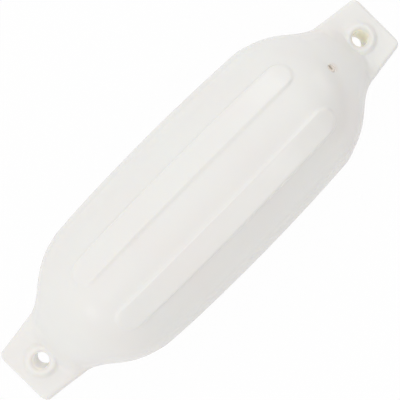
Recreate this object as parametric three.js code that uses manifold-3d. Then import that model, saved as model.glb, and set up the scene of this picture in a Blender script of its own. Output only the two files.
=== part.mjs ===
// Ribbed boat fender with a flat rope eye at each end, lying on its side.
// Millimetres. X runs along the fender, towards the end with the valve. Z is up, square to the flat lugs.
// The origin is under the middle of the fender, on the surface that it lies on.

import * as THREE from 'three';
import Module from 'manifold-3d';
import { LoftGeometry } from 'three/addons/geometries/LoftGeometry.js';
import { mergeVertices } from 'three/addons/utils/BufferGeometryUtils.js';

const wasm = await Module();
wasm.setup();

const degrees = Math.PI / 180;

// Bladder
const overallLength = 650;
const bodyRadius = 106.2; // skin between the ribs, at mid-length
const crownRadius = 2700; // slow barrel curve of the skin along the body
const shoulderStart = 155.4; // from mid-length, where the barrel turns into the shoulder
const shoulderRadius = 118;
const noseAngleInPlan = 41 * degrees; // slope of the nose towards the sides of the lug
const noseAngleInSide = 48 * degrees; // slope of the nose down to the flat of the lug
const noseWidth = 84; // width at which the nose runs out onto the lug
const noseTipRound = 16; // length over which the nose closes inside the lug

// Lugs
const lugThickness = 36;
const lugRootWidth = 107;
const lugRoot = 238; // from mid-length, where the lug leaves the nose
const lugTaper = 0.129; // loss of half width for each millimetre outwards
const lugCornerRadius = 8;
const lugEdgeRadius = 5.5;

// Rope eyes
const eyeSetback = 35; // from the middle of the rope hole to the end of the lug
const ropeHoleRadius = 10.2;
const mouthRun = 5.4; // how far the trumpet mouth widens past the rope hole
const mouthDepth = 5.5;
const lipHeight = 5;
const lipFootRadius = 24.5; // the lip rises from here in a soft S to the rim of the mouth

// Ribs
const ribCount = 8;
const ribLength = 361;
const ribWidth = 34.4; // at half height
const ribHeight = 1.7; // along the middle of its flat top, so its sides are higher
const ribWallRun = 5.5; // width of the sloping wall, seen square to the skin
const sideRibWallRun = 14; // the ribs beside the lugs have soft walls, so that they leave the mould
const ribWallProfile = [[0, 0], [0.3, 0.2], [0.7, 0.8], [1, 1]]; // share of the run, share of the height
const ribSeat = 3; // how deep the rib's solid reaches into the skin

// Inflation valve
const valveStation = 221; // from mid-length, along X
const pocketRadius = 5.2;
const pocketDepth = 6;
const pocketMouthRound = 0.8;
const valveClearance = 0.3;
const valveHeight = 5.1;
const valveHeadRound = 0.6;
const needleHoleRadius = 0.8;
const needleHoleDepth = 2;

// Fineness of the faceted surfaces
const sidePoints = 3; // points in a quarter section, on the side of the lug
const edgePoints = 3; // on its rounded edge
const facePoints = 7; // on its flat face
const shoulderSteps = 6;
const noseSteps = 8;
const lugSteps = 3;
const cornerSteps = 5;
const ribEndSteps = 4;
const ribSideSteps = 4;
const eyeSegments = 32;
const mouthSteps = 4;
const lipSteps = 4;
const valveSegments = 24;
const sideBlend = 18; // power that rounds the joint of nose and lug at the sides
const faceBlend = 5; // a lower power makes a softer joint on the faces
const blendTurnFrom = 6 * degrees; // direction from the side at which the softer joint begins
const blendTurnTo = 28 * degrees;
const noseSquareness = 1; // how far the nose's section turns from round to square at its tip

const halfLength = overallLength / 2;
const eyeStation = halfLength - eyeSetback;
const crownSlope = Math.asin(shoulderStart / crownRadius);
const shoulderCentreX = shoulderStart - shoulderRadius * Math.sin(crownSlope);
const shoulderCentreZ = crownHeight(shoulderStart) - shoulderRadius * Math.cos(crownSlope);
const noseTip = noseStart(noseAngleInSide)
  + (shoulderCentreZ + shoulderRadius * Math.cos(noseAngleInSide)) / Math.tan(noseAngleInSide);

// Outline of the bladder along its length

function crownHeight(x) {
  return bodyRadius - crownRadius + Math.sqrt(crownRadius ** 2 - x ** 2);
}

function noseStart(angle) {
  return shoulderCentreX + shoulderRadius * Math.sin(angle);
}

// Barrel crown, then the shoulder's arc, then a straight nose at the given angle
function bladderReach(x, angle) {
  if (x <= shoulderStart) return crownHeight(x);
  const onArc = Math.min(x, noseStart(angle));
  const arc = shoulderCentreZ + Math.sqrt(shoulderRadius ** 2 - (onArc - shoulderCentreX) ** 2);
  return arc - (x - onArc) * Math.tan(angle);
}

function bladderHalfHeight(x) {
  return Math.max(bladderReach(x, noseAngleInSide), 0.01);
}

function bladderHalfWidth(x) {
  const pastClosing = Math.max(0, x - (noseTip - noseTipRound)) / noseTipRound;
  const closing = Math.sqrt(Math.max(1 - pastClosing ** 2, 0.0001));
  return Math.max(bladderReach(x, noseAngleInPlan), noseWidth / 2) * closing;
}

// Outline of the lug in plan, with its rounded corners and edges

function quarterRound(radius, past) {
  return radius - Math.sqrt(Math.max(radius ** 2 - Math.max(past, 0) ** 2, 0));
}

function lugHalfWidth(x) {
  const straight = lugRootWidth / 2 - lugTaper * Math.max(x - lugRoot, 0);
  return straight - quarterRound(lugCornerRadius, x - (halfLength - lugCornerRadius));
}

function lugHalfThickness(x) {
  return lugThickness / 2 - quarterRound(lugEdgeRadius, x - (halfLength - lugEdgeRadius));
}

// Sections across the fender, each as a distance from the axis in a direction

function bladderSection(x, direction) {
  const power = 2 + noseSquareness * THREE.MathUtils.smoothstep(x, noseStart(noseAngleInPlan), noseTip);
  const across = Math.abs(Math.cos(direction)) / bladderHalfWidth(x);
  const upwards = Math.abs(Math.sin(direction)) / bladderHalfHeight(x);
  return (across ** power + upwards ** power) ** (-1 / power);
}

function lugSection(x, direction) {
  const halfWidth = lugHalfWidth(x);
  const halfThickness = lugHalfThickness(x);
  const c = Math.abs(Math.cos(direction));
  const s = Math.abs(Math.sin(direction));
  const toSide = halfWidth / Math.max(c, 1e-9);
  const toFace = halfThickness / Math.max(s, 1e-9);
  const reach = Math.min(toSide, toFace);
  const roundX = halfWidth - lugEdgeRadius;
  const roundZ = halfThickness - lugEdgeRadius;
  if (reach * c <= roundX || reach * s <= roundZ) return reach;
  const along = roundX * c + roundZ * s;
  return along + Math.sqrt(along ** 2 - roundX ** 2 - roundZ ** 2 + lugEdgeRadius ** 2);
}

function evenSteps(from, to, steps) {
  return Array.from({ length: steps }, (_, k) => from + (to - from) * (k + 1) / steps);
}

// Directions of a section's points: even on the round body, and gathered on the rounded edges of the lug
function sectionDirections(x) {
  const evenTurn = Math.PI / 2 / (sidePoints + edgePoints + facePoints);
  const gathered = THREE.MathUtils.smoothstep(x, shoulderStart, lugRoot);
  const edgeFrom = Math.atan2(lugHalfThickness(x) - lugEdgeRadius, lugHalfWidth(x));
  const edgeTo = Math.atan2(lugHalfThickness(x), lugHalfWidth(x) - lugEdgeRadius);
  const from = THREE.MathUtils.lerp(sidePoints * evenTurn, edgeFrom, gathered);
  const to = THREE.MathUtils.lerp((sidePoints + edgePoints) * evenTurn, edgeTo, gathered);
  const quarter = [
    ...evenSteps(0, from, sidePoints),
    ...evenSteps(from, to, edgePoints),
    ...evenSteps(to, Math.PI / 2, facePoints),
  ];
  const half = [0, ...quarter, ...quarter.slice(0, -1).map((turn) => Math.PI - turn).reverse()];
  return [...half, ...half.map((turn) => turn + Math.PI)];
}

function jointPower(direction) {
  const upwards = Math.abs(Math.sin(direction));
  const onFace = THREE.MathUtils.smoothstep(upwards, Math.sin(blendTurnFrom), Math.sin(blendTurnTo));
  return THREE.MathUtils.lerp(sideBlend, faceBlend, onFace);
}

function skinSection(station) {
  const x = Math.abs(station);
  return sectionDirections(x).map((direction) => {
    const bladder = bladderSection(x, direction);
    const lug = lugSection(x, direction);
    const power = jointPower(direction);
    const reach = (bladder ** power + lug ** power) ** (1 / power);
    return new THREE.Vector3(station, reach * Math.cos(direction), reach * Math.sin(direction));
  });
}

function skinStations() {
  const shoulderTurns = evenSteps(crownSlope, noseAngleInPlan, shoulderSteps);
  const cornerTurns = evenSteps(0, Math.PI / 2, cornerSteps);
  const half = [
    shoulderStart / 3,
    shoulderStart * 2 / 3,
    shoulderStart,
    ...shoulderTurns.map((turn) => shoulderCentreX + shoulderRadius * Math.sin(turn)),
    ...evenSteps(noseStart(noseAngleInPlan), noseTip, noseSteps),
    ...evenSteps(noseTip, halfLength - lugCornerRadius, lugSteps),
    ...cornerTurns.map((turn) => halfLength - lugCornerRadius * (1 - Math.sin(turn))),
  ];
  return [...half.map((x) => -x).reverse(), 0, ...half];
}

// Closed geometries to solids and back

function toSolid(geometry) {
  const bare = new THREE.BufferGeometry().copy(geometry);
  bare.deleteAttribute('normal');
  bare.deleteAttribute('uv');
  const merged = mergeVertices(bare);
  const corners = merged.index.array;
  const kept = [];
  for (let k = 0; k < corners.length; k += 3) {
    const [a, b, c] = corners.slice(k, k + 3);
    if (a !== b && b !== c && c !== a) kept.push(a, b, c);
  }
  return new wasm.Manifold(new wasm.Mesh({
    numProp: 3,
    vertProperties: Float32Array.from(merged.attributes.position.array),
    triVerts: Uint32Array.from(kept),
  }));
}

function toGeometry(solid) {
  const mesh = solid.getMesh();
  const geometry = new THREE.BufferGeometry();
  geometry.setAttribute('position', new THREE.BufferAttribute(mesh.vertProperties, 3));
  geometry.setIndex(new THREE.BufferAttribute(mesh.triVerts, 1));
  geometry.computeVertexNormals();
  return geometry;
}

function turned(profile, segments) {
  const points = profile.map(([radius, height]) => new THREE.Vector2(radius, height));
  return new THREE.LatheGeometry(points, segments);
}

// Ribs: raised pads with half-round ends, laid along the skin

function ribOutline(radius) {
  const straight = ribLength / 2 - ribWidth / 2;
  const outline = [];
  for (const end of [1, -1]) {
    for (let k = 0; k <= ribEndSteps; k += 1) {
      const turn = (k / ribEndSteps - 0.5) * Math.PI;
      outline.push([end * (straight + radius * Math.cos(turn)), -end * radius * Math.sin(turn)]);
    }
    for (let k = 1; k < ribSideSteps; k += 1) {
      outline.push([end * straight * (1 - 2 * k / ribSideSteps), -end * radius]);
    }
  }
  return outline;
}

// Height of the flat top over the round skin, this far round from the rib's middle
function ribTopHeight(skin, turn) {
  const onTop = Math.min(Math.abs(turn), ribWidth / 2 / skin);
  return (skin + ribHeight) / Math.cos(onTop) - skin;
}

function ribRing(angle, radius, rise, seat = 0) {
  return ribOutline(radius).map(([x, across]) => {
    const skin = bladderReach(Math.abs(x), noseAngleInSide);
    const turn = across / skin;
    const reach = skin + rise * ribTopHeight(skin, turn) - seat;
    const direction = angle + turn;
    return new THREE.Vector3(x, reach * Math.cos(direction), reach * Math.sin(direction));
  });
}

function rib(angle) {
  const besideLug = Math.abs(Math.cos(angle)) > Math.abs(Math.sin(angle));
  const wallRun = besideLug ? sideRibWallRun : ribWallRun;
  const foot = (ribWidth + wallRun) / 2;
  const top = foot - wallRun;
  const wall = ribWallProfile.map(([run, rise]) => ribRing(angle, foot - run * wallRun, rise));
  return toSolid(new LoftGeometry([
    ribRing(angle, foot, 0, ribSeat),
    ...wall,
    ribRing(angle, top / 2, 1),
    ribRing(angle, 0, 1),
  ], { capStart: true }));
}

// Rope eyes: a raised lip on both faces of the lug, and a hole with trumpet mouths

function upright(geometry, x) {
  return geometry.rotateX(Math.PI / 2).translate(x, 0, 0);
}

function mouthPoints() {
  const rim = lugThickness / 2 + lipHeight;
  return Array.from({ length: mouthSteps + 1 }, (_, k) => {
    const turn = k / mouthSteps * Math.PI / 2;
    return [
      ropeHoleRadius + mouthRun * (1 - Math.cos(turn)),
      rim - mouthDepth * (1 - Math.sin(turn)),
    ];
  });
}

function bothFaces(upper) {
  const lower = upper.map(([radius, height]) => [radius, -height]).reverse();
  return [...lower, ...upper];
}

function eyeLips(x) {
  const face = lugThickness / 2;
  const crest = ropeHoleRadius + mouthRun;
  const slope = [0, ...evenSteps(0, 1, lipSteps)].map((share) => [
    THREE.MathUtils.lerp(lipFootRadius, crest, share),
    face + lipHeight * THREE.MathUtils.smoothstep(share, 0, 1),
  ]);
  return toSolid(upright(turned(bothFaces([...slope, [0, face + lipHeight]]), eyeSegments), x));
}

function ropeHole(x) {
  const top = lugThickness / 2 + 3 * lipHeight;
  const upper = [...mouthPoints(), [ropeHoleRadius + mouthRun, top], [0, top]];
  return toSolid(upright(turned(bothFaces(upper), eyeSegments), x));
}

// Valve: a rubber plug in a round pocket, square to the slope of the shoulder

const valveSlope = Math.asin((valveStation - shoulderCentreX) / shoulderRadius);
const valveOutwards = new THREE.Vector3(Math.sin(valveSlope), 0, Math.cos(valveSlope));
const valveTurn = new THREE.Quaternion().setFromUnitVectors(new THREE.Vector3(0, 1, 0), valveOutwards);
const valveSeat = new THREE.Vector3(valveStation, 0, bladderReach(valveStation, noseAngleInSide));

function valvePocket() {
  const profile = [
    [0, -pocketDepth],
    [pocketRadius, -pocketDepth],
    [pocketRadius, -pocketMouthRound],
    [pocketRadius + pocketMouthRound, 0],
    [pocketRadius + 2 * pocketMouthRound, pocketMouthRound],
    [0, pocketMouthRound],
  ];
  const geometry = turned(profile, valveSegments);
  geometry.applyQuaternion(valveTurn);
  geometry.translate(...valveSeat);
  return toSolid(geometry);
}

function valvePlug() {
  const radius = pocketRadius - valveClearance;
  const foot = valveClearance - pocketDepth;
  const head = foot + valveHeight;
  return turned([
    [0, foot],
    [radius, foot],
    [radius, head - valveHeadRound],
    [radius - valveHeadRound, head],
    [needleHoleRadius, head],
    [needleHoleRadius, head - needleHoleDepth],
    [0, head - needleHoleDepth],
  ], valveSegments);
}

function fenderBody() {
  const sections = skinStations().map(skinSection);
  let body = toSolid(new LoftGeometry(sections, { capStart: true, capEnd: true }));
  for (let k = 0; k < ribCount; k += 1) {
    body = body.add(rib((k + 0.5) * 2 * Math.PI / ribCount));
  }
  for (const x of [-eyeStation, eyeStation]) {
    body = body.add(eyeLips(x)).subtract(ropeHole(x));
  }
  return toGeometry(body.subtract(valvePocket()));
}

const whiteVinyl = new THREE.MeshStandardMaterial({ color: 0xeceae4, roughness: 0.42, metalness: 0 });
const tanRubber = new THREE.MeshStandardMaterial({ color: 0xb9aa92, roughness: 0.7, metalness: 0 });

const body = new THREE.Mesh(fenderBody(), whiteVinyl);
body.name = 'fender_body';

const valve = new THREE.Mesh(valvePlug(), tanRubber);
valve.name = 'inflation_valve';
valve.position.copy(valveSeat);
valve.quaternion.copy(valveTurn);

// The fender is lifted so that its lowest point touches the surface at zero
const fender = new THREE.Group();
fender.add(body, valve);
body.geometry.computeBoundingBox();
fender.position.z = -body.geometry.boundingBox.min.z;

export default fender;
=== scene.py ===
# %% [markdown]
# A ribbed boat fender
#
# The object is one blown vinyl bladder with a flat rope eye at each end and a small rubber valve.
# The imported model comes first. It fixes every size and place, so nothing here is moved to fit.
# Lengths are in metres and Z is up. X runs along the fender, towards the end with the valve.

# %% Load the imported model
import math

import bmesh
import bpy
from mathutils import Matrix, Vector


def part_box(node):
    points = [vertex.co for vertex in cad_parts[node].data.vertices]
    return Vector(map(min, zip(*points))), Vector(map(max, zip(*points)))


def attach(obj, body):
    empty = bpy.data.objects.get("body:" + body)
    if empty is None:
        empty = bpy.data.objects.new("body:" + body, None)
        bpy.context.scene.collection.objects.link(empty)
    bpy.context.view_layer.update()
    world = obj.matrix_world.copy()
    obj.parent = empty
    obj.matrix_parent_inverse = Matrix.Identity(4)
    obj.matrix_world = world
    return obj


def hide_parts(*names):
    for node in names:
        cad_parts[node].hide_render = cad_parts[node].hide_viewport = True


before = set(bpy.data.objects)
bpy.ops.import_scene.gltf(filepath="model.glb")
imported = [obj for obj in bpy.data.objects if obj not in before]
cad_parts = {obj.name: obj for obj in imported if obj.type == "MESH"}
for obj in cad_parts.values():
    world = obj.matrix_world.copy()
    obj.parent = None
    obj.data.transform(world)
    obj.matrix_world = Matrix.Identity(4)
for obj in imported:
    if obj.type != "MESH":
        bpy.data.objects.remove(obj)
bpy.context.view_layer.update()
MM = 0.001
body_low, body_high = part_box("fender_body")
axis_height = (body_low.z + body_high.z) / 2
half_length = (body_high.x - body_low.x) / 2
print(f"fender {2 * half_length / MM:.1f} mm long, axis {axis_height / MM:.1f} mm above the floor")

# %% [markdown]
# Camera
#
# The photograph looks almost straight down, from a little towards the end without the valve.
# A picture taken close by shows the near ribs larger than the lugs below them, so the distance matters
# as much as the angle. It was worked out from how far apart the ribs look and from how much of each
# rope hole's wall shows. The camera is built from three directions, which is plainer than angles.

# %% Camera
CAMERA_DISTANCE = 1.043
CAMERA_TO_PLAIN_END = 0.038
CAMERA_TO_SIDE = 0.015
AIM_X, AIM_Y = -0.0034, -0.0003
FENDER_TURN = math.radians(45.26)
LENS = 72
SENSOR = 36


def standing(place, right, up, back):
    """The matrix of a camera or lamp at this place, which looks away from its back."""
    return Matrix.Translation(place) @ Matrix((right, up, back)).transposed().to_4x4()


sideways = CAMERA_TO_PLAIN_END ** 2 + CAMERA_TO_SIDE ** 2
camera_rise = math.sqrt(CAMERA_DISTANCE ** 2 - sideways)
camera_back = Vector((-CAMERA_TO_PLAIN_END, CAMERA_TO_SIDE, camera_rise)).normalized()
along = (Vector((1, 0, 0)) - camera_back * camera_back.x).normalized()
across = camera_back.cross(along)
camera_right = along * math.cos(FENDER_TURN) - across * math.sin(FENDER_TURN)
camera_up = along * math.sin(FENDER_TURN) + across * math.cos(FENDER_TURN)
camera_place = Vector((AIM_X, AIM_Y, axis_height)) + camera_back * CAMERA_DISTANCE

camera_data = bpy.data.cameras.new("camera")
camera_data.lens = LENS
camera_data.sensor_width = SENSOR
camera = bpy.data.objects.new("camera", camera_data)
bpy.context.collection.objects.link(camera)
camera.matrix_world = standing(camera_place, camera_right, camera_up, camera_back)
bpy.context.scene.camera = camera
print(f"camera {CAMERA_DISTANCE:.3f} m from the fender's middle")

# %% [markdown]
# A way to write formulas as nodes
#
# The skin of a moulded fender follows a rule: how far it lies from the axis, for each place along it
# and each direction round it. Geometry Nodes work such a rule out for every point at once, but a long
# formula made of single Math nodes is hard to read. This small class lets Python's own signs make the
# nodes, so that the formulas below look like formulas.

# %% A number inside a node tree


class Number:
    """One number in a node tree. Adding, multiplying or comparing makes the Math node for it."""

    def __init__(self, tree, socket):
        self.tree = tree
        self.socket = socket

    def math(self, operation, *others):
        return math_node(self.tree, operation, self, *others)

    def __neg__(self):
        return self.math("MULTIPLY", -1.0)

    def __add__(self, other):
        return self.math("ADD", other)

    def __radd__(self, other):
        return self.math("ADD", other)

    def __sub__(self, other):
        return self.math("SUBTRACT", other)

    def __rsub__(self, other):
        return math_node(self.tree, "SUBTRACT", other, self)

    def __mul__(self, other):
        return self.math("MULTIPLY", other)

    def __rmul__(self, other):
        return self.math("MULTIPLY", other)

    def __truediv__(self, other):
        return self.math("DIVIDE", other)

    def __rtruediv__(self, other):
        return math_node(self.tree, "DIVIDE", other, self)

    def __pow__(self, other):
        return self.math("POWER", other)

    def __gt__(self, other):
        return self.math("GREATER_THAN", other)

    def __lt__(self, other):
        return self.math("LESS_THAN", other)


# %% Make and feed a node


def feed(tree, socket, value):
    """Gives a socket its value: links from numbers or outputs, or a plain value."""
    if isinstance(value, list):
        for one in value:
            feed(tree, socket, one)
    elif isinstance(value, Number):
        tree.links.new(value.socket, socket)
    elif isinstance(value, bpy.types.NodeSocket):
        tree.links.new(value, socket)
    else:
        socket.default_value = value


def feed_all(tree, node, inputs):
    """Feeds several inputs, each under its name or its number on the node."""
    for name, value in inputs.items():
        feed(tree, node.inputs[name], value)


def made(tree, kind, inputs, output=0, **settings):
    """Makes a node with these settings, feeds its inputs and gives back one of its outputs."""
    node = tree.nodes.new(kind)
    for name, value in settings.items():
        setattr(node, name, value)
    feed_all(tree, node, inputs)
    return node.outputs[output]


def math_node(tree, operation, *values):
    return Number(tree, made(tree, "ShaderNodeMath", dict(enumerate(values)), operation=operation))


def parts_of(tree, vector):
    """The X, Y and Z of a vector, each as a number."""
    node = tree.nodes.new("ShaderNodeSeparateXYZ")
    feed(tree, node.inputs[0], vector)
    return [Number(tree, socket) for socket in node.outputs]


def vector_of(tree, x, y, z):
    return made(tree, "ShaderNodeCombineXYZ", {0: x, 1: y, 2: z})


# %% Functions of one number


def for_both(operation, plain):
    """A function that takes a number of a node tree, or a plain one."""

    def worked_out(value):
        return value.math(operation) if isinstance(value, Number) else plain(value)

    return worked_out


root = for_both("SQRT", math.sqrt)
sine = for_both("SINE", math.sin)
cosine = for_both("COSINE", math.cos)
tangent = for_both("TANGENT", math.tan)
arcsine = for_both("ARCSINE", math.asin)
unsigned = for_both("ABSOLUTE", abs)

# %% Functions of several numbers


def least(value, other):
    return value.math("MINIMUM", other)


def most(value, other):
    return value.math("MAXIMUM", other)


def choose(flag, if_true, if_false):
    """One number where the flag is 1, the other where it is 0."""
    return flag * if_true + (1 - flag) * if_false


def between(value, start, end, at_start, at_end, smooth=False):
    """Runs from one number to the other while the value runs from start to end, and then stays."""
    numbers = dict(enumerate((value, start, end, at_start, at_end)))
    step = "SMOOTHSTEP" if smooth else "LINEAR"
    return Number(value.tree, made(value.tree, "ShaderNodeMapRange", numbers, interpolation_type=step))


def staged(value, places):
    """Joins straight stretches. Each place is a value and the number that belongs to it."""
    total = places[0][1]
    for (start, low), (end, high) in zip(places, places[1:]):
        total = between(value, start, end, 0.0, high - low) + total
    return total


# %% Sheets of points
# Points nearer to each other than this become one.
WELD = 0.000005


def grid(tree, rows, lines):
    """A flat sheet of unit size: rows along X and lines along Y, both from minus to plus a half."""
    sizes = {"Size X": 1.0, "Size Y": 1.0, "Vertices X": rows + 1, "Vertices Y": lines + 1}
    return made(tree, "GeometryNodeMeshGrid", sizes, "Mesh")


def position_parts(tree):
    return parts_of(tree, made(tree, "GeometryNodeInputPosition", {}))


def placed(tree, mesh, x, y, z):
    """Moves each point of the mesh to the place that three numbers give."""
    inputs = {"Geometry": mesh, "Position": vector_of(tree, x, y, z)}
    return made(tree, "GeometryNodeSetPosition", inputs)


def welded(tree, mesh):
    """Joins the two edges of a rolled-up sheet, and the points that meet at a pole."""
    return made(tree, "GeometryNodeMergeByDistance", {"Geometry": mesh, "Distance": WELD})


def flipped(tree, mesh):
    """Turns the faces over, for a sheet that was rolled up inside out."""
    return made(tree, "GeometryNodeFlipFaces", {0: mesh})


# %% [markdown]
# The sizes of the skin
#
# A designer would write these on the drawing of the mould. They become the named inputs of the node
# tree, so the whole fender can be changed from the modifier panel while the rule stays the same.

# %% Sizes of the moulded skin
SKIN = {
    "Half Length": half_length,
    "Axis Height": axis_height,
    "Body Radius": 0.1062,
    "Crown Radius": 2.7,
    "Shoulder Start": 0.1554,
    "Shoulder Radius": 0.118,
    "Nose Angle in Plan": math.radians(41),
    "Nose Angle in Side": math.radians(48),
    "Nose Half Width": 0.042,
    "Nose Tip Round": 0.016,
    "Nose Squareness": 1.0,
    "Lug Half Thickness": 0.018,
    "Lug Root Half Width": 0.0535,
    "Lug Root": 0.238,
    "Lug Taper": 0.129,
    "Lug Corner Radius": 0.008,
    "Lug Edge Radius": 0.0055,
    "Side Blend": 18.0,
    "Face Blend": 5.0,
    "Rib Pitch": math.radians(45),
    "Rib Half Length": 0.1805,
    "Rib Half Width": 0.0172,
    "Rib Height": 0.0017,
    "Rib Wall Run": 0.0055,
    "Side Rib Wall Run": 0.016,
    "Eye Setback": 0.035,
    "Rope Hole Radius": 0.0102,
    "Mouth Run": 0.0054,
    "Mouth Depth": 0.0055,
    "Lip Height": 0.005,
    "Lip Foot Radius": 0.0245,
    "Valve Station": 0.221,
    "Pocket Radius": 0.0052,
    "Pocket Depth": 0.006,
    "Pocket Mouth Round": 0.0008,
}
print(f"{len(SKIN)} named sizes, {2 * SKIN['Body Radius'] / MM:.1f} mm through the body")

# %% [markdown]
# The skin of the fender
#
# The real one is blown: a hot vinyl tube is pinched flat at both ends, which makes the lugs, and
# pressed out against a mould with long grooves, which makes the ribs. It could be carved from a
# cylinder, but a rule keeps every section clean. The bladder's section is nearly round, the lug's
# section is a rectangle with rounded edges, and a high power mean of the two gives the soft joint
# between them. The rows of points crowd together at the rib ends, on the nose and on the rounded
# corners, where the surface turns fastest.

# %% The tree and its named inputs
HALF_TURN = math.pi
QUARTER_TURN = math.pi / 2
FULL_TURN = 2 * math.pi


def named_tree(name, sizes):
    tree = bpy.data.node_groups.new(name, "GeometryNodeTree")
    for title in sizes:
        tree.interface.new_socket(title, in_out="INPUT", socket_type="NodeSocketFloat")
    tree.interface.new_socket("Mesh", in_out="OUTPUT", socket_type="NodeSocketGeometry")
    given = tree.nodes.new("NodeGroupInput")
    return tree, {title: Number(tree, given.outputs[title]) for title in sizes}


tree, size = named_tree("fender_skin", SKIN)
print(f"node tree {tree.name} with {len(size)} inputs")

# %% The barrel and its shoulders
# These take the inputs of the tree, or the plain sizes above, which the valve plug needs later.


def crown(size, x):
    """The barrel's radius at x, on one very wide arc."""
    return size["Body Radius"] - size["Crown Radius"] + root(size["Crown Radius"] ** 2 - x ** 2)


def shoulder_middle(size):
    """The middle of the shoulder's arc: how far along the fender, and how far from its axis."""
    slope = arcsine(size["Shoulder Start"] / size["Crown Radius"])
    x = size["Shoulder Start"] - size["Shoulder Radius"] * sine(slope)
    z = crown(size, size["Shoulder Start"]) - size["Shoulder Radius"] * cosine(slope)
    return x, z


def shoulder_at(size, middle, x):
    """How far the shoulder's arc is from the axis at x."""
    return middle[1] + root(size["Shoulder Radius"] ** 2 - (x - middle[0]) ** 2)


def shoulder_slope(size, middle, x):
    return arcsine((x - middle[0]) / size["Shoulder Radius"])


shoulder = shoulder_middle(size)
shoulder_x, shoulder_z = shoulder
plain_shoulder = shoulder_middle(SKIN)
print(f"the shoulders turn about x = {plain_shoulder[0] / MM:.1f} mm")

# %% Where the rows lie along the fender
BODY_ROWS, RIB_END_ROWS, SHOULDER_ROWS = 12, 30, 26
NOSE_ROWS, LUG_ROWS, CORNER_ROWS, CAP_ROWS = 38, 8, 12, 2
RIB_END_MARGIN = 0.003
row_ends = [0]
for count in (BODY_ROWS, RIB_END_ROWS, SHOULDER_ROWS, NOSE_ROWS, LUG_ROWS, CORNER_ROWS, CAP_ROWS):
    row_ends.append(row_ends[-1] + count)
HALF_ROWS = row_ends[-1]

grid_x, grid_y, _ = position_parts(tree)
end_sign = grid_x.math("SIGN")
row = unsigned(grid_x) * (2 * HALF_ROWS)


def nose_start(angle):
    """Where the arc of the shoulder has turned by this angle, and the straight nose starts."""
    return shoulder_x + size["Shoulder Radius"] * sine(angle)


side_angle = size["Nose Angle in Side"]
plan_angle = size["Nose Angle in Plan"]
nose_start_height = shoulder_z + size["Shoulder Radius"] * cosine(side_angle)
nose_tip = nose_start(side_angle) + nose_start_height / tangent(side_angle)
ribs_end = size["Rib Half Length"] + size["Rib Wall Run"] + RIB_END_MARGIN
ribs_bend = size["Rib Half Length"] - size["Rib Half Width"] - size["Rib Wall Run"]
corner_start = size["Half Length"] - size["Lug Corner Radius"]
corner_turn = between(row, row_ends[5], row_ends[6], 0.0, QUARTER_TURN)
row_places = [0.0, ribs_bend, ribs_end, nose_start(plan_angle), nose_tip, corner_start]
x = staged(row, list(zip(row_ends, row_places))) + size["Lug Corner Radius"] * sine(corner_turn)
cap = between(row, row_ends[6], row_ends[7], 1.0, 0.0)
print(f"{2 * HALF_ROWS} rows from end to end")

# %% Where the lines lie round the bladder
# Half a rib pitch is split into the flat top, the wall and the valley between two ribs.
TOP_LINES, WALL_LINES, VALLEY_LINES = 5, 5, 4
HALF_PITCH_LINES = TOP_LINES + WALL_LINES + VALLEY_LINES
RIB_COUNT = round(FULL_TURN / SKIN["Rib Pitch"])
LINES = RIB_COUNT * 2 * HALF_PITCH_LINES

turn_share = grid_y + 0.5
even_turn = turn_share * FULL_TURN
half_pitch = size["Rib Pitch"] / 2
pitch_place = (even_turn / size["Rib Pitch"]).math("FRACT") - 0.5
pitch_side = pitch_place.math("SIGN")
pitch_line = unsigned(pitch_place) * (2 * HALF_PITCH_LINES)
top_half_angle = (size["Rib Half Width"] - size["Rib Wall Run"] / 2) / size["Body Radius"]
foot_half_angle = (size["Rib Half Width"] + size["Rib Wall Run"] / 2) / size["Body Radius"]
line_ends = [0, TOP_LINES, TOP_LINES + WALL_LINES, HALF_PITCH_LINES]
line_angles = [0.0, top_half_angle, foot_half_angle, half_pitch]
rib_offset = staged(pitch_line, list(zip(line_ends, line_angles)))
rib_shift = pitch_side * (rib_offset - unsigned(pitch_place) * size["Rib Pitch"])
print(f"{LINES} lines round the bladder, for {RIB_COUNT} ribs")

# %% Where the lines lie round the lugs
# A quarter turn of the lug is split into its side, its rounded edge and its flat face.
SIDE_SHARE, EDGE_SHARE = 0.14, 0.32


def rounded_past(radius, past):
    """How much a quarter round of this radius takes off, this far past its start."""
    return radius - root(most(radius ** 2 - most(past, 0.0) ** 2, 0.0))


lug_half_width = (
    size["Lug Root Half Width"]
    - size["Lug Taper"] * most(x - size["Lug Root"], 0.0)
    - rounded_past(size["Lug Corner Radius"], x - corner_start)
)
edge = size["Lug Edge Radius"]
lug_half_thickness = size["Lug Half Thickness"] - rounded_past(edge, x - (size["Half Length"] - edge))
side_room = lug_half_width - edge
face_room = lug_half_thickness - edge

quarter_place = (turn_share * 4).math("PINGPONG", 1.0)
falling = (turn_share * 2).math("FRACT") > 0.5
quarter_sign = 1 - falling * 2
edge_from = face_room.math("ARCTAN2", lug_half_width)
edge_to = lug_half_thickness.math("ARCTAN2", side_room)
lug_turn = staged(
    quarter_place,
    [(0.0, 0.0), (SIDE_SHARE, edge_from), (EDGE_SHARE, edge_to), (1.0, QUARTER_TURN)],
)
lug_shift = quarter_sign * (lug_turn - quarter_place * QUARTER_TURN)
gathered = between(x, ribs_end, size["Lug Root"], 0.0, 1.0, smooth=True)
direction = even_turn + choose(gathered, lug_shift, rib_shift)
cos_direction = unsigned(cosine(direction))
sin_direction = unsigned(sine(direction))
print(f"the lines gather at the lugs' edges from x = {SKIN['Lug Root'] / MM:.0f} mm")

# %% The section of the bladder
# THIN and HARDLY keep a division or a root away from zero.
THIN = 0.00001
HARDLY = 0.0001


def bladder_reach(angle):
    """Barrel crown, then the arc of the shoulder, then a straight nose."""
    on_arc = least(x, nose_start(angle))
    nose = shoulder_at(size, shoulder, on_arc) - (x - on_arc) * tangent(angle)
    return choose(x > size["Shoulder Start"], nose, crown(size, x))


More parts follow.
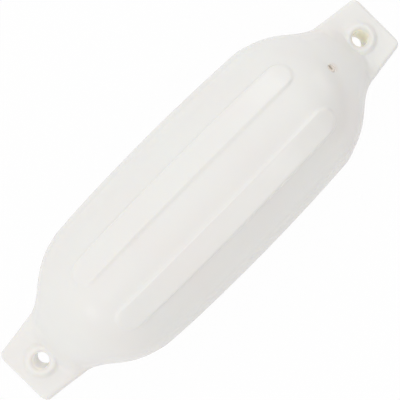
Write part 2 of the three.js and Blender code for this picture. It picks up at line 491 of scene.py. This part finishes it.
half_height = most(bladder_reach(side_angle), THIN)
past_closing = most(x - (nose_tip - size["Nose Tip Round"]), 0.0) / size["Nose Tip Round"]
closing = root(most(1 - past_closing ** 2, HARDLY))
half_width = most(bladder_reach(plan_angle), size["Nose Half Width"]) * closing
power = between(x, nose_start(plan_angle), nose_tip, 2.0, size["Nose Squareness"] + 2, smooth=True)
oval = ((cos_direction / half_width) ** power + (sin_direction / half_height) ** power) ** (-1 / power)
print(f"noses at {math.degrees(SKIN['Nose Angle in Plan']):.0f} degrees, seen from above")

# %% The ribs
# The photograph shows the ribs going soft towards the plain end, so they lose some height there.
PLAIN_END_HEIGHT = 0.6
FADE_RUN = 0.07

rib_place = ((direction / size["Rib Pitch"]).math("FRACT") - 0.5) * size["Rib Pitch"]
past_straight = most(x - (size["Rib Half Length"] - size["Rib Half Width"]), 0.0)
from_spine = root((rib_place * size["Body Radius"]) ** 2 + past_straight ** 2)
facing_side = cos_direction > sin_direction
half_run = choose(facing_side, size["Side Rib Wall Run"], size["Rib Wall Run"]) / 2
rib_top = size["Rib Half Width"] - half_run
rib_foot = size["Rib Half Width"] + half_run
rib_angle = least(unsigned(rib_place), size["Rib Half Width"] / size["Body Radius"])
flat_top = (oval + size["Rib Height"]) / cosine(rib_angle) - oval
from_plain_end = end_sign * x + size["Rib Half Length"]
fade = between(from_plain_end, 0.0, FADE_RUN, PLAIN_END_HEIGHT, 1.0, smooth=True)
bladder = oval + flat_top * fade * between(from_spine, rib_top, rib_foot, 1.0, 0.0, smooth=True)
print(f"ribs {2 * SKIN['Rib Half Width'] / MM:.1f} mm wide and {SKIN['Rib Height'] / MM:.1f} mm high")

# %% The section of a lug
to_side = lug_half_width / most(cos_direction, THIN)
to_face = lug_half_thickness / most(sin_direction, THIN)
straight_reach = least(to_side, to_face)
on_edge = (straight_reach * cos_direction > side_room) * (straight_reach * sin_direction > face_room)
edge_along = side_room * cos_direction + face_room * sin_direction
edge_reach = edge_along + root(edge_along ** 2 - side_room ** 2 - face_room ** 2 + edge ** 2)
lug = choose(on_edge, edge_reach, straight_reach)
print(f"lugs {2 * SKIN['Lug Half Thickness'] / MM:.0f} mm thick")

# %% The soft joint of bladder and lug
# The joint is tight at the lug's sides and soft on its faces. It changes between these two angles.
TIGHT_UP_TO = math.sin(math.radians(6))
SOFT_FROM = math.sin(math.radians(28))

larger = most(bladder, lug)
smaller = least(bladder, lug)
blend = between(sin_direction, TIGHT_UP_TO, SOFT_FROM, size["Side Blend"], size["Face Blend"], smooth=True)
reach = larger * (1 + (smaller / larger) ** blend) ** (1 / blend) * cap
skin = placed(
    tree,
    grid(tree, 2 * HALF_ROWS, LINES),
    end_sign * x,
    reach * cosine(direction),
    reach * sine(direction),
)
skin = welded(tree, flipped(tree, skin))
print(f"skin of {2 * HALF_ROWS} rows by {LINES} lines, from {len(tree.nodes)} nodes")

# %% [markdown]
# The rope eyes
#
# The mould pinches the lug round a pin, so each hole has a trumpet mouth on both faces and a low lip
# round it, and the nose of the bladder runs into that lip on one side. A cut with a plain cylinder
# would leave a sharp edge there. Instead a ring is made whose rows go over the lip, into the mouth
# and down the hole. A ray cast down onto the skin tells each of its points how high the nose is
# there, and the higher of lip and nose wins, with a small rounding. The ring then replaces a round
# piece of the lug.

# %% Where the points of the ring lie, seen from above
WALL_ROWS, MOUTH_ROWS, LIP_ROWS = 3, 9, 15
EYE_LINES = 96
EYE_RADIUS = 0.0285

half_ring_rows = WALL_ROWS + MOUTH_ROWS + LIP_ROWS + 1
ring_x, ring_y, _ = position_parts(tree)
ring_side = ring_x.math("SIGN")
ring_row = unsigned(ring_x) * (2 * half_ring_rows)
around = (ring_y + 0.5) * FULL_TURN

rim = size["Lug Half Thickness"] + size["Lip Height"]
crest = size["Rope Hole Radius"] + size["Mouth Run"]
mouth_end = WALL_ROWS + MOUTH_ROWS
lip_end = mouth_end + LIP_ROWS
mouth_turn = between(ring_row, WALL_ROWS, mouth_end, 0.0, QUARTER_TURN)
outwards = between(ring_row, mouth_end, lip_end, 0.0, EYE_RADIUS - crest)
ring_radius = size["Rope Hole Radius"] + size["Mouth Run"] * (1 - cosine(mouth_turn)) + outwards
eye_x = size["Half Length"] - size["Eye Setback"]
print(f"eye ring of {2 * half_ring_rows} rows by {EYE_LINES} lines")

# %% How high the skin is there
RAY_START = 0.3

probe_radius = most(ring_radius, crest)
probe_x = eye_x + probe_radius * cosine(around)
probe_y = probe_radius * sine(around)
ray = {
    "Target Geometry": skin,
    "Source Position": vector_of(tree, probe_x, probe_y, RAY_START),
    "Ray Direction": (0, 0, -1),
    "Ray Length": 1.0,
}
skin_height = parts_of(tree, made(tree, "GeometryNodeRaycast", ray, "Hit Position"))[2]
print(f"rays look down from {RAY_START} m")

# %% The heights of the ring
# The ring stands a hair proud of the lug, so that no two faces lie in one plane when they are joined.
LIP_ROUNDING = 0.0016
EYE_PROUD = 0.00001

bead = between(ring_radius, crest, size["Lip Foot Radius"], rim, size["Lug Half Thickness"], smooth=True)
lip_surface = bead.math("SMOOTH_MAX", skin_height, LIP_ROUNDING) + EYE_PROUD
nose_lift = rim.math("SMOOTH_MAX", skin_height, LIP_ROUNDING) + EYE_PROUD - rim
wall_height = between(ring_row, 0, WALL_ROWS, 0.0, rim - size["Mouth Depth"])
mouth_height = wall_height + size["Mouth Depth"] * sine(mouth_turn)
mouth_surface = mouth_height + nose_lift * between(ring_row, WALL_ROWS, mouth_end, 0.0, 1.0, smooth=True)
past_mouth = ring_row > mouth_end + 0.5
before_last = ring_row < lip_end + 0.5
ring_height = choose(past_mouth, lip_surface, mouth_surface) * before_last
ring = placed(
    tree,
    grid(tree, 2 * half_ring_rows, EYE_LINES),
    eye_x + ring_radius * cosine(around),
    ring_radius * sine(around),
    ring_side * ring_height,
)
ring = welded(tree, ring)
print(f"holes {2 * SKIN['Rope Hole Radius'] / MM:.1f} mm wide, lips {SKIN['Lip Height'] / MM:.0f} mm high")

# %% Move, join and cut meshes


def joined(tree, meshes):
    return made(tree, "GeometryNodeJoinGeometry", {0: meshes})


def transformed(tree, mesh, move, turn):
    inputs = {
        "Geometry": mesh,
        "Translation": vector_of(tree, *move),
        "Rotation": vector_of(tree, *turn),
    }
    return made(tree, "GeometryNodeTransform", inputs)


def both_ends(tree, mesh):
    """The mesh and a copy at the other end of the fender, turned half way round the vertical."""
    return joined(tree, [mesh, transformed(tree, mesh, (0, 0, 0), (0, 0, HALF_TURN))])


def cut_out(tree, whole, cutter):
    inputs = {"Mesh 1": whole, "Mesh 2": cutter}
    return made(tree, "GeometryNodeMeshBoolean", inputs, "Mesh", operation="DIFFERENCE", solver="MANIFOLD")


def united(tree, first, second):
    inputs = {"Mesh 2": [first, second]}
    return made(tree, "GeometryNodeMeshBoolean", inputs, "Mesh", operation="UNION", solver="MANIFOLD")


# %% Set the rings into the lugs
EYE_CUT = 0.0265

drill = {"Vertices": EYE_LINES, "Radius": EYE_CUT, "Depth": RAY_START}
drill_mesh = made(tree, "GeometryNodeMeshCylinder", drill, "Mesh")
drill_mesh = transformed(tree, drill_mesh, (eye_x, 0, 0), (0, 0, 0))
skin = cut_out(tree, skin, both_ends(tree, drill_mesh))
skin = united(tree, skin, both_ends(tree, ring))
print(f"rings set into round cuts {2 * EYE_CUT / MM:.0f} mm wide")

# %% [markdown]
# The valve pocket
#
# The fender is pumped up through a small rubber plug on the nose of one end. It sits in a round pocket
# that stands square to the slope of the shoulder. A turned shape with a flared mouth is cut out of the
# skin, so the edge of the pocket is a small bevel, as on a moulded part.

# %% Cut the valve pocket
POCKET_LINES = 48

pocket = size["Pocket Radius"]
flare = size["Pocket Mouth Round"]
pocket_floor = -size["Pocket Depth"]
# The outline that is turned: its radius and its height at each row.
pocket_radii = [0.0, pocket, pocket, pocket + 2 * flare, 0.0]
pocket_heights = [pocket_floor, pocket_floor, -flare, flare, flare]
POCKET_ROWS = len(pocket_radii) - 1

pocket_x, pocket_y, _ = position_parts(tree)
pocket_row = (pocket_x + 0.5) * POCKET_ROWS
pocket_turn = (pocket_y + 0.5) * FULL_TURN
pocket_radius = staged(pocket_row, list(enumerate(pocket_radii)))
pocket_mesh = placed(
    tree,
    grid(tree, POCKET_ROWS, POCKET_LINES),
    pocket_radius * cosine(pocket_turn),
    pocket_radius * sine(pocket_turn),
    staged(pocket_row, list(enumerate(pocket_heights))),
)
pocket_mesh = welded(tree, flipped(tree, pocket_mesh))
station = size["Valve Station"]
seat = (station, 0, shoulder_at(size, shoulder, station))
pocket_mesh = transformed(tree, pocket_mesh, seat, (0, shoulder_slope(size, shoulder, station), 0))
skin = cut_out(tree, skin, pocket_mesh)
print(f"valve pocket {2 * SKIN['Pocket Radius'] / MM:.1f} mm wide, {SKIN['Pocket Depth'] / MM:.0f} mm deep")

# %% [markdown]
# White vinyl
#
# The fender is soft white vinyl with a satin gloss. Under even light its colour hardly varies, so the
# finish is told by small things: the slow waviness of blown vinyl, which breaks up the highlights, a
# fine grain, a faint line where the two halves of the mould met, the yellow of thick vinyl inside the
# rope holes, painted lighter as painted light through the vinyl, painted shade in their mouths, and a
# stain that the rubber valve has left round itself.
# Light enters vinyl a little way, which softens every crease, so the shader also scatters it under
# the surface, and further where the vinyl is thick.

# %% Helpers for materials
# The class from above writes these formulas too, because both kinds of tree share their Math nodes.


def new_material(name):
    material = bpy.data.materials.new(name)
    material.use_nodes = True
    shader_tree = material.node_tree
    place = made(shader_tree, "ShaderNodeTexCoord", {}, "Object")
    return material, shader_tree, shader_tree.nodes["Principled BSDF"], place


def noise(shader_tree, place, scale, detail):
    inputs = {"Vector": place, "Scale": scale, "Detail": detail}
    return Number(shader_tree, made(shader_tree, "ShaderNodeTexNoise", inputs))


def coloured(shader_tree, factor, first, second):
    """Mixes two colours. A colour may be a plain one or the socket of an earlier mix."""
    ends = [(*colour, 1) if isinstance(colour, tuple) else colour for colour in (first, second)]
    inputs = {"Factor": factor, 6: ends[0], 7: ends[1]}
    return made(shader_tree, "ShaderNodeMix", inputs, 2, data_type="RGBA")


def near(distance, inner, outer):
    """1 up to the inner distance, then softly down to 0 at the outer one."""
    return between(distance, inner, outer, 1.0, 0.0, smooth=True)


def bumped(shader_tree, shader, height):
    """Turns a height in metres into a bump."""
    bump = made(shader_tree, "ShaderNodeBump", {"Distance": 1.0, "Height": height})
    feed(shader_tree, shader.inputs["Normal"], bump)


# %% Colour of the vinyl
VINYL = (0.85, 0.855, 0.83)
VINYL_WARM = (0.85, 0.838, 0.815)
BLOTCH_SCALE, BLOTCH_DETAIL = 9, 3.0
BLOTCH_FROM, BLOTCH_TO = 0.35, 0.65

vinyl, vinyl_tree, vinyl_shader, vinyl_place = new_material("white_vinyl")
blotches = noise(vinyl_tree, vinyl_place, BLOTCH_SCALE, BLOTCH_DETAIL)
blotches = between(blotches, BLOTCH_FROM, BLOTCH_TO, 0.0, 1.0, smooth=True)
vinyl_colour = coloured(vinyl_tree, blotches, VINYL, VINYL_WARM)
print(f"vinyl from {VINYL} to {VINYL_WARM}")

# %% Colour and painted light of the rope eyes
# Distances from the middle of a rope hole. The painted shade in the mouth is stronger at the valve end.
EYE_X = half_length - SKIN["Eye Setback"]
BORE_FROM, BORE_TO = 0.0103, 0.0124
MOUTH_FROM, MOUTH_TO = 0.0125, 0.0175
MOUTH_PAINTED_SHADE = (0.785, 0.765, 0.725)
PAINTED_SHADE_AT_PLAIN_END, PAINTED_SHADE_MORE_AT_VALVE_END = 0.2, 0.55
# Yellow of thick vinyl, painted near white as light through it, and lighter at the plain end.
BORE_YELLOW_PAINTED_LIGHTER = (0.99, 0.98, 0.925)
BORE_YELLOW_PAINTED_DARKER = (0.985, 0.945, 0.84)

at_x, at_y, at_z = parts_of(vinyl_tree, vinyl_place)
at_valve_end = at_x > 0
from_eye = root((unsigned(at_x) - EYE_X) ** 2 + at_y ** 2)
in_bore = near(from_eye, BORE_FROM, BORE_TO)
# Painted shade in the mouths of the rope holes, stronger at the valve end.
mouth_shade_strength = at_valve_end * PAINTED_SHADE_MORE_AT_VALVE_END + PAINTED_SHADE_AT_PLAIN_END
mouth_painted_shade = near(from_eye, MOUTH_FROM, MOUTH_TO) * mouth_shade_strength
vinyl_colour = coloured(vinyl_tree, mouth_painted_shade, vinyl_colour, MOUTH_PAINTED_SHADE)
# The yellow of the bore with painted light, lighter at the plain end.
bore_yellow_and_painted_light = coloured(vinyl_tree, at_valve_end, BORE_YELLOW_PAINTED_LIGHTER, BORE_YELLOW_PAINTED_DARKER)
vinyl_colour = coloured(vinyl_tree, in_bore, vinyl_colour, bore_yellow_and_painted_light)
print(f"rope eyes coloured at {EYE_X / MM:.0f} mm from the middle")

# %% Stain round the valve
RUBBER_STAIN = (0.80, 0.73, 0.66)
STAIN_X, STAIN_Y = SKIN["Valve Station"] + 0.0025, -0.001
STAIN_FROM, STAIN_TO = 0.0035, 0.0085
STAIN_STRENGTH = 0.6

from_stain = root((at_x - STAIN_X) ** 2 + (at_y - STAIN_Y) ** 2)
above_axis = at_z > axis_height
stain = near(from_stain, STAIN_FROM, STAIN_TO) * STAIN_STRENGTH * above_axis
vinyl_colour = coloured(vinyl_tree, stain, vinyl_colour, RUBBER_STAIN)
feed(vinyl_tree, vinyl_shader.inputs["Base Color"], vinyl_colour)
print(f"stain {2 * STAIN_TO / MM:.0f} mm across")

# %% Gloss and depth of the vinyl
GLOSS_SCALE, GLOSS_DETAIL = 30, 2.0
GLOSS_FROM, GLOSS_TO = 0.3, 0.7
SMOOTHEST, ROUGHEST = 0.20, 0.26
VINYL_GLOW = (1.0, 0.85, 0.6)
THICK_FROM, THICK_TO = 0.017, 0.030
# Scattering of the plain skin, and what a thick lip and the wall of a hole add to it.
SCATTER, SCATTER_THICK, SCATTER_BORE = 0.25, 0.45, 0.25
REACH, REACH_THICK, REACH_BORE = 0.006, 0.006, 0.020

gloss = noise(vinyl_tree, vinyl_place, GLOSS_SCALE, GLOSS_DETAIL)
thick = near(from_eye, THICK_FROM, THICK_TO)
vinyl_finish = {
    "Roughness": between(gloss, GLOSS_FROM, GLOSS_TO, SMOOTHEST, ROUGHEST),
    "Subsurface Radius": VINYL_GLOW,
    "Subsurface Weight": in_bore * SCATTER_BORE + thick * SCATTER_THICK + SCATTER,
    "Subsurface Scale": in_bore * REACH_BORE + thick * REACH_THICK + REACH,
}
feed_all(vinyl_tree, vinyl_shader, vinyl_finish)
print(f"roughness from {SMOOTHEST} to {ROUGHEST}")

# %% Waves, grain and mould line
WAVE_SCALE, WAVE_DETAIL, WAVE_HEIGHT = 26, 1.0, 0.0009
GRAIN_SCALE, GRAIN_DETAIL, GRAIN_HEIGHT = 700, 2.0, 0.000025
MOULD_LINE_FROM, MOULD_LINE_TO, MOULD_LINE_HEIGHT = 0.0002, 0.0009, 0.00022

waves = noise(vinyl_tree, vinyl_place, WAVE_SCALE, WAVE_DETAIL) * WAVE_HEIGHT
grain = noise(vinyl_tree, vinyl_place, GRAIN_SCALE, GRAIN_DETAIL) * GRAIN_HEIGHT
from_mould_line = unsigned(at_z - axis_height)
mould_line = near(from_mould_line, MOULD_LINE_FROM, MOULD_LINE_TO) * MOULD_LINE_HEIGHT
bumped(vinyl_tree, vinyl_shader, waves + grain + mould_line)
print(f"{vinyl.name}: {len(vinyl_tree.nodes)} nodes")

# %% [markdown]
# From the rule to a mesh
#
# So far the skin is only a rule. The last nodes lift it to its height above the floor, shade it smooth
# except across sharp edges, and give it the vinyl. Realize Instances makes sure that what comes out is
# a true mesh. An empty object then runs the tree as a modifier, and its result is kept as a plain mesh,
# which needs no modifier any more and can be exported.

# %% Finish the tree
SHARP = math.radians(38)

skin = transformed(tree, skin, (0, 0, size["Axis Height"]), (0, 0, 0))
edge_angle = Number(tree, made(tree, "GeometryNodeInputMeshEdgeAngle", {}))
skin = made(tree, "GeometryNodeSetShadeSmooth", {"Geometry": skin}, domain="FACE")
blunt_edges = {"Geometry": skin, "Shade Smooth": edge_angle < SHARP}
skin = made(tree, "GeometryNodeSetShadeSmooth", blunt_edges, domain="EDGE")
skin = made(tree, "GeometryNodeRealizeInstances", {0: skin})
skin = made(tree, "GeometryNodeSetMaterial", {"Geometry": skin, "Material": vinyl})
feed(tree, tree.nodes.new("NodeGroupOutput").inputs[0], skin)
print(f"{tree.name}: {len(tree.nodes)} nodes")

# %% Run a tree and measure a mesh


def run_tree(name, tree, sizes):
    """Runs a node tree on an empty mesh and keeps its result as a plain mesh."""
    carrier = bpy.data.objects.new(name, bpy.data.meshes.new(name))
    bpy.context.collection.objects.link(carrier)
    modifier = carrier.modifiers.new("tree", "NODES")
    modifier.node_group = tree
    for item in tree.interface.items_tree:
        if item.in_out == "INPUT":
            modifier[item.identifier] = sizes[item.name]
    depsgraph = bpy.context.evaluated_depsgraph_get()
    mesh = bpy.data.meshes.new_from_object(carrier.evaluated_get(depsgraph))
    carrier.modifiers.clear()
    carrier.data = mesh
    return carrier


def drop_flaps(mesh):
    """Deletes faces that lie back to back on the same points, which a cut can leave behind."""
    work = bmesh.new()
    work.from_mesh(mesh)
    on_points = {}
    for face in work.faces:
        on_points.setdefault(frozenset(face.verts), []).append(face)
    flaps = [face for faces in on_points.values() if len(faces) > 1 for face in faces]
    print(f"{len(flaps)} faces back to back")
    bmesh.ops.delete(work, geom=flaps, context="FACES")
    work.to_mesh(mesh)
    work.free()


def report_mesh(piece):
    mesh = bmesh.new()
    mesh.from_mesh(piece.data)
    open_edges = sum(1 for mesh_edge in mesh.edges if len(mesh_edge.link_faces) != 2)
    triangles = sum(len(face.verts) - 2 for face in mesh.faces)
    litres = mesh.calc_volume(signed=True) * 1000
    print(f"{piece.name}: {triangles} triangles, {open_edges} open edges, {litres:.3f} litres")
    mesh.free()


# %% Make the bladder
fender = run_tree("vinyl_bladder", tree, SKIN)
drop_flaps(fender.data)
report_mesh(fender)
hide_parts("fender_body")
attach(fender, "root")

# %% [markdown]
# The inflation valve
#
# The plug is tan rubber with a slit, where the needle of the pump goes in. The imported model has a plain
# plug there. This one has a rounded edge, a dished face and the slit, and it stays in the pocket. It is
# one disc of rings and lines, with the height of each point worked out from its place on the face.

# %% Sizes and place of the plug
PLUG_GAP = 0.0003
PLUG_RADIUS = SKIN["Pocket Radius"] - PLUG_GAP
PLUG_FOOT = PLUG_GAP - SKIN["Pocket Depth"]
PLUG_HEAD = PLUG_FOOT + 0.0051
PLUG_EDGE = 0.0007
DISH = 0.0005
DISH_FLAT = 0.001
SLIT_HALF_LENGTH, SLIT_HALF_WIDTH, SLIT_DEPTH = 0.0030, 0.0013, 0.0036
SLIT_SHIFT = 0.0012
# The share of the slit's half width and half length that is at full depth.
SLIT_FLOOR_WIDE, SLIT_FLOOR_LONG = 0.35, 0.75

slope = shoulder_slope(SKIN, plain_shoulder, SKIN["Valve Station"])
seat_height = axis_height + shoulder_at(SKIN, plain_shoulder, SKIN["Valve Station"])
valve_place = Matrix.Translation((SKIN["Valve Station"], 0, seat_height)) @ Matrix.Rotation(slope, 4, "Y")
print(f"valve {seat_height / MM:.1f} mm above the floor, leaning {math.degrees(slope):.1f} degrees")

# %% The face of the plug


def eased(value, start, end):
    share = min(max((value - start) / (end - start), 0), 1)
    return share * share * (3 - 2 * share)


def face_height(radius, turn):
    """The dished face of the plug, with the slit pressed into it."""
    u, v = radius * math.cos(turn), radius * math.sin(turn)
    dish = DISH * (1 - eased(radius, DISH_FLAT, PLUG_RADIUS - PLUG_EDGE))
    across_slit = 1 - eased(abs(u), SLIT_HALF_WIDTH * SLIT_FLOOR_WIDE, SLIT_HALF_WIDTH)
    along_slit = 1 - eased(abs(v - SLIT_SHIFT), SLIT_HALF_LENGTH * SLIT_FLOOR_LONG, SLIT_HALF_LENGTH)
    return PLUG_HEAD - dish - SLIT_DEPTH * across_slit * along_slit


# %% The rings of the plug
# Each ring is a list of radius and height, one for each line: over the face, round the edge, and down.
PLUG_LINES, FACE_RINGS, EDGE_RINGS = 72, 22, 5

flat_radius = PLUG_RADIUS - PLUG_EDGE
turns = [FULL_TURN * j / PLUG_LINES for j in range(PLUG_LINES)]
rings = []
for k in range(1, FACE_RINGS + 1):
    face_radius = flat_radius * k / FACE_RINGS
    rings.append([(face_radius, face_height(face_radius, angle)) for angle in turns])
for k in range(1, EDGE_RINGS + 1):
    edge_turn = QUARTER_TURN * k / EDGE_RINGS
    edge_radius = flat_radius + PLUG_EDGE * math.sin(edge_turn)
    edge_height = PLUG_HEAD - PLUG_EDGE * (1 - math.cos(edge_turn))
    rings.append([(edge_radius, edge_height)] * PLUG_LINES)
rings.append([(PLUG_RADIUS, PLUG_FOOT)] * PLUG_LINES)
print(f"plug of {len(rings)} rings by {PLUG_LINES} lines")

# %% Make the plug
SMALL_FACE = 4

plug = bmesh.new()
rows = []
for ring_points in rings:
    row_points = []
    for angle, (radius, height) in zip(turns, ring_points):
        point = Vector((radius * math.cos(angle), radius * math.sin(angle), height))
        row_points.append(plug.verts.new(valve_place @ point))
    rows.append(row_points)
top = plug.verts.new(valve_place @ Vector((0, 0, face_height(0, 0))))
for j in range(PLUG_LINES):
    following = (j + 1) % PLUG_LINES
    plug.faces.new((top, rows[0][j], rows[0][following]))
    for inner, outer in zip(rows, rows[1:]):
        plug.faces.new((inner[j], outer[j], outer[following], inner[following]))
plug.faces.new(list(reversed(rows[-1])))
# Only the round foot has more corners. It stays flat, and the edge round it stays sharp.
for face in plug.faces:
    face.smooth = len(face.verts) <= SMALL_FACE
for plug_edge in plug.edges:
    plug_edge.smooth = all(face.smooth for face in plug_edge.link_faces)
plug_mesh = bpy.data.meshes.new("valve_plug")
plug.to_mesh(plug_mesh)
plug.free()
valve = bpy.data.objects.new("valve_plug", plug_mesh)
bpy.context.collection.objects.link(valve)
report_mesh(valve)

# %% [markdown]
# Tan rubber
#
# The rubber is matt, dusty and a little uneven in colour. The slit is painted darker, as painted shade
# in its hollow. This painted shade is measured from a point on the face of the plug, which leans as
# the nose does.

# %% Rubber
RUBBER_DARK = (0.80, 0.73, 0.64)
RUBBER_PALE = (0.86, 0.80, 0.72)
PAINTED_SLIT_SHADE = (0.50, 0.46, 0.40)
PAINTED_SHADE_SHIFT = 0.0006
# The painted shade is longer than it is wide, as the slit is.
PAINTED_SHADE_STRETCH = 0.35
PAINTED_SHADE_FROM, PAINTED_SHADE_TO = 0.0012, 0.0026
DUST_SCALE, DUST_DETAIL = 900, 3.0
DUST_FROM, DUST_TO = 0.3, 0.7
RUBBER_SMOOTHEST, RUBBER_ROUGHEST = 0.6, 0.8
PORE_SCALE, PORE_DETAIL, PORE_HEIGHT = 2500, 2.0, 0.00003

rubber, rubber_tree, rubber_shader, rubber_place = new_material("tan_rubber")
dust = noise(rubber_tree, rubber_place, DUST_SCALE, DUST_DETAIL)
rubber_colour = coloured(rubber_tree, dust, RUBBER_DARK, RUBBER_PALE)
slit_middle = valve_place @ Vector((PAINTED_SHADE_SHIFT, SLIT_SHIFT, PLUG_HEAD))
apart = [part - middle for part, middle in zip(parts_of(rubber_tree, rubber_place), slit_middle)]
from_slit = root(apart[0] ** 2 + apart[1] ** 2 * PAINTED_SHADE_STRETCH + apart[2] ** 2)
# Painted shade: the rubber is darkened in and round the slit.
slit_painted_shade = near(from_slit, PAINTED_SHADE_FROM, PAINTED_SHADE_TO)
rubber_finish = {
    "Base Color": coloured(rubber_tree, slit_painted_shade, rubber_colour, PAINTED_SLIT_SHADE),
    "Roughness": between(dust, DUST_FROM, DUST_TO, RUBBER_SMOOTHEST, RUBBER_ROUGHEST),
}
feed_all(rubber_tree, rubber_shader, rubber_finish)
bumped(rubber_tree, rubber_shader, noise(rubber_tree, rubber_place, PORE_SCALE, PORE_DETAIL) * PORE_HEIGHT)
plug_mesh.materials.append(rubber)
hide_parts("inflation_valve")
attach(valve, "root")
print(f"{rubber.name}: {len(rubber_tree.nodes)} nodes")

# %% [markdown]
# Floor and light
#
# The photograph was taken on white, in soft light from all round. It comes a little more from above
# and from the left of the picture, so the lower right flank and the nose by the valve are greyer.
# A sky whose strength changes slowly with direction does that, with one side that is nearly dark and
# a little pink. Six softboxes then put the soft highlights where the photograph has them: each one
# stands where the view ray, mirrored in the skin at that highlight, would go.

# %% Floor
FLOOR_HALF = 6
FLOOR_WHITE = 0.9
FLOOR_ROUGHNESS = 0.9
# How much of what the camera and the gloss see is plain white. The rest keeps the fender's shadow.
CAMERA_WHITE = 0.96
MIRRORED_WHITE = 0.5

floor_mesh = bpy.data.meshes.new("floor")
corners = [(-FLOOR_HALF, -FLOOR_HALF, 0), (FLOOR_HALF, -FLOOR_HALF, 0)]
corners += [(FLOOR_HALF, FLOOR_HALF, 0), (-FLOOR_HALF, FLOOR_HALF, 0)]
floor_mesh.from_pydata(corners, [], [(0, 1, 2, 3)])
floor = bpy.data.objects.new("floor", floor_mesh)
bpy.context.collection.objects.link(floor)

paper, paper_tree, paper_shader, _ = new_material("white_paper")
paper_finish = {
    "Base Color": (FLOOR_WHITE, FLOOR_WHITE, FLOOR_WHITE, 1),
    "Roughness": FLOOR_ROUGHNESS,
}
feed_all(paper_tree, paper_shader, paper_finish)
ray_kind = paper_tree.nodes.new("ShaderNodeLightPath")
seen = Number(paper_tree, ray_kind.outputs["Is Camera Ray"])
mirrored = Number(paper_tree, ray_kind.outputs["Is Glossy Ray"])
through = Number(paper_tree, ray_kind.outputs["Is Transmission Ray"])
white_share = most(most(seen, through) * CAMERA_WHITE, mirrored * MIRRORED_WHITE)
glow = made(paper_tree, "ShaderNodeEmission", {})
paper_mix = made(paper_tree, "ShaderNodeMixShader", {0: white_share, 1: paper_shader.outputs[0], 2: glow})
feed(paper_tree, paper_tree.nodes["Material Output"].inputs[0], paper_mix)
floor_mesh.materials.append(paper)
print(f"floor {2 * FLOOR_HALF} m wide")

# %% Sky
SKY = 0.827
SKY_SLOPE = Vector((0.05, 0.055, 0.26))
DARK_SIDE = math.radians(-36)
DARK_FROM, DARK_TO = 0.35, 1.0
DARKNESS = 0.84
DAYLIGHT = (0.99, 1.0, 0.995)
ROOM_LIGHT = (1.0, 0.955, 0.95)

world = bpy.data.worlds.new("studio")
bpy.context.scene.world = world
world.use_nodes = True
sky_tree = world.node_tree
sky_x, sky_y, sky_z = parts_of(sky_tree, made(sky_tree, "ShaderNodeTexCoord", {}, "Generated"))
to_dark_side = sky_x * math.cos(DARK_SIDE) + sky_y * math.sin(DARK_SIDE)
darkness = between(to_dark_side, DARK_FROM, DARK_TO, 0.0, DARKNESS, smooth=True)
sky_strength = sky_x * SKY_SLOPE.x + sky_y * SKY_SLOPE.y + sky_z * SKY_SLOPE.z + SKY - darkness
sky_seen = Number(sky_tree, made(sky_tree, "ShaderNodeLightPath", {}, "Is Camera Ray"))
sky = {
    "Color": coloured(sky_tree, between(to_dark_side, -1, 1, 0.0, 1.0), DAYLIGHT, ROOM_LIGHT),
    "Strength": choose(sky_seen, 1.0, sky_strength),
}
feed_all(sky_tree, sky_tree.nodes["Background"], sky)
print(f"sky of strength {SKY}, darkest towards {math.degrees(DARK_SIDE):.0f} degrees")

# %% Softboxes
# Each has a name, the place of its highlight, the direction from there to it, its width and height in
# metres and its power in watts.
LAMP_DISTANCE = 1.5
SOFTBOXES = (
    ("softbox_long_side", (0.00, -0.035, 0.205), (0.04, -0.74, 0.67), 0.75, 0.25, 0.75),
    ("softbox_far_rib", (0.14, 0.035, 0.205), (0.31, 0.70, 0.65), 0.36, 0.22, 0.38),
    ("softbox_plain_end", (-0.193, 0.000, 0.200), (-0.77, -0.05, 0.63), 0.50, 0.13, 0.62),
    ("softbox_valve_end", (0.200, -0.010, 0.197), (0.88, -0.08, 0.46), 0.80, 0.35, 1.15),
    ("softbox_plain_lug", (-0.300, 0.000, 0.124), (-0.24, 0.00, 0.97), 0.35, 0.35, 0.28),
    ("softbox_near_rib", (0.095, -0.038, 0.204), (0.20, -0.68, 0.70), 0.22, 0.12, 0.36),
)
for name, highlight, direction_to, wide, tall, watts in SOFTBOXES:
    lamp_data = bpy.data.lights.new(name, "AREA")
    lamp_data.shape = "RECTANGLE"
    lamp_data.size, lamp_data.size_y = wide, tall
    lamp_data.energy = watts
    lamp = bpy.data.objects.new(name, lamp_data)
    towards = Vector(direction_to).normalized()
    level_edge = Vector((0, 0, 1)).cross(towards).normalized()
    upper_edge = towards.cross(level_edge)
    lamp_place = Vector(highlight) + towards * LAMP_DISTANCE
    lamp.matrix_world = standing(lamp_place, level_edge, upper_edge, towards)
    bpy.context.collection.objects.link(lamp)
bpy.context.scene.view_settings.view_transform = "Standard"
print(f"{len(SOFTBOXES)} softboxes, each {LAMP_DISTANCE} m from its highlight")
